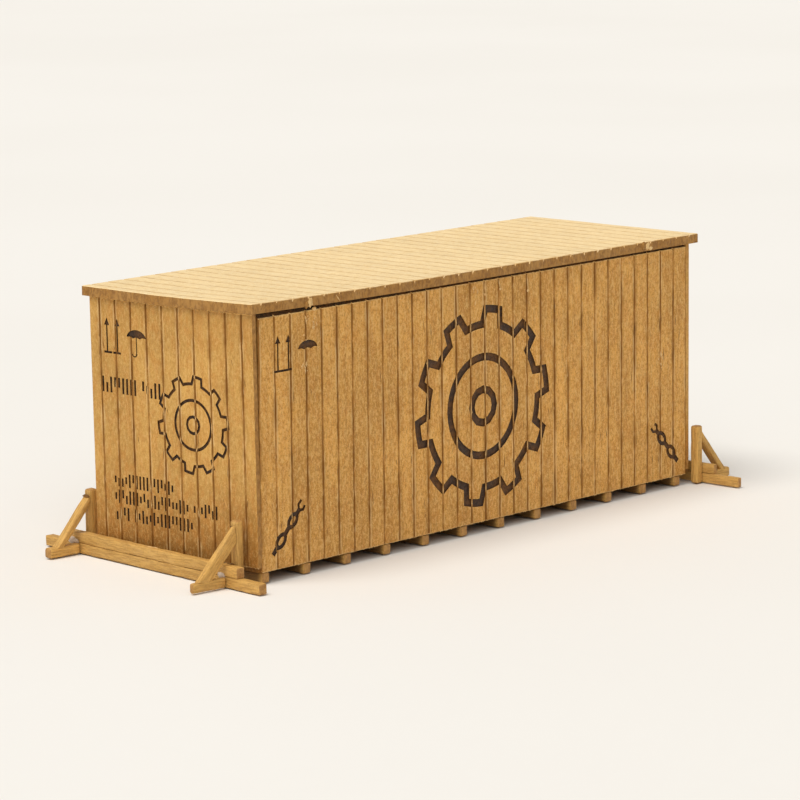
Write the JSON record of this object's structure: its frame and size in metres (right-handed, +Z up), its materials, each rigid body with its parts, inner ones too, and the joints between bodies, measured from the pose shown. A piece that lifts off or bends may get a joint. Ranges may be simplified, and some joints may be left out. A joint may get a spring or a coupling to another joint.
{
  "type": "model shipping crate with bracing frames",
  "caption": "Laser-cut model of a large wooden shipping crate with a board lid, standing on cross bearers, held between two loose timber bracing frames.",
  "frame": {"origin": "middle of the footprint of the crate with both bracing frames, on the floor that they stand on", "axes": "+X along the crate's length towards its right end wall, -Y out of the side wall with the large emblem, +Z up"},
  "size_m": [0.073, 0.0326, 0.0249],
  "materials": {
    "wall_board": "golden tan fibreboard with engraved board joints, charred dark brown in the grooves, matt",
    "lid_board": "pale cream-yellow fibreboard with fine engraved cross boards and brown laser-cut edges, matt",
    "strip_wood": "tan fibreboard strips with darker laser-cut sides and a little dried glue at the joints, matt",
    "inner_board": "plain tan fibreboard, unseen inside the crate, matt"
  },
  "bodies": {
    "crate": {"base_plate": "inner_board", "bearer_01": "strip_wood", "bearer_02": "strip_wood", "bearer_03": "strip_wood", "bearer_04": "strip_wood", "bearer_05": "strip_wood", "bearer_06": "strip_wood", "bearer_07": "strip_wood", "bearer_08": "strip_wood", "bearer_09": "strip_wood", "bearer_10": "strip_wood", "bearer_11": "strip_wood", "bearer_12": "strip_wood", "side_wall_front": "wall_board", "side_wall_back": "wall_board", "end_wall_left": "wall_board", "end_wall_right": "wall_board", "lid": "lid_board", "corner_batten_front_left": "inner_board", "corner_batten_front_right": "inner_board", "corner_batten_back_left": "inner_board", "corner_batten_back_right": "inner_board", "inner_rib_left": "inner_board", "inner_rib_right": "inner_board"},
    "brace_left": {"brace_left_sill": "strip_wood", "brace_left_upper_beam": "strip_wood", "brace_left_post_front": "strip_wood", "brace_left_foot_front": "strip_wood", "brace_left_strut_front": "strip_wood", "brace_left_post_back": "strip_wood", "brace_left_foot_back": "strip_wood", "brace_left_strut_back": "strip_wood"},
    "brace_right": {"brace_right_sill": "strip_wood", "brace_right_upper_beam": "strip_wood", "brace_right_post_front": "strip_wood", "brace_right_foot_front": "strip_wood", "brace_right_strut_front": "strip_wood", "brace_right_post_back": "strip_wood", "brace_right_foot_back": "strip_wood", "brace_right_strut_back": "strip_wood"}
  },
  "joints": [
    {"name": "brace_left_slide", "type": "slide", "parent": "crate", "child": "brace_left", "axis": [-1, 0, 0], "range_m": [0, 0.012]},
    {"name": "brace_right_slide", "type": "slide", "parent": "crate", "child": "brace_right", "axis": [1, 0, 0], "range_m": [0, 0.012]}
  ]
}
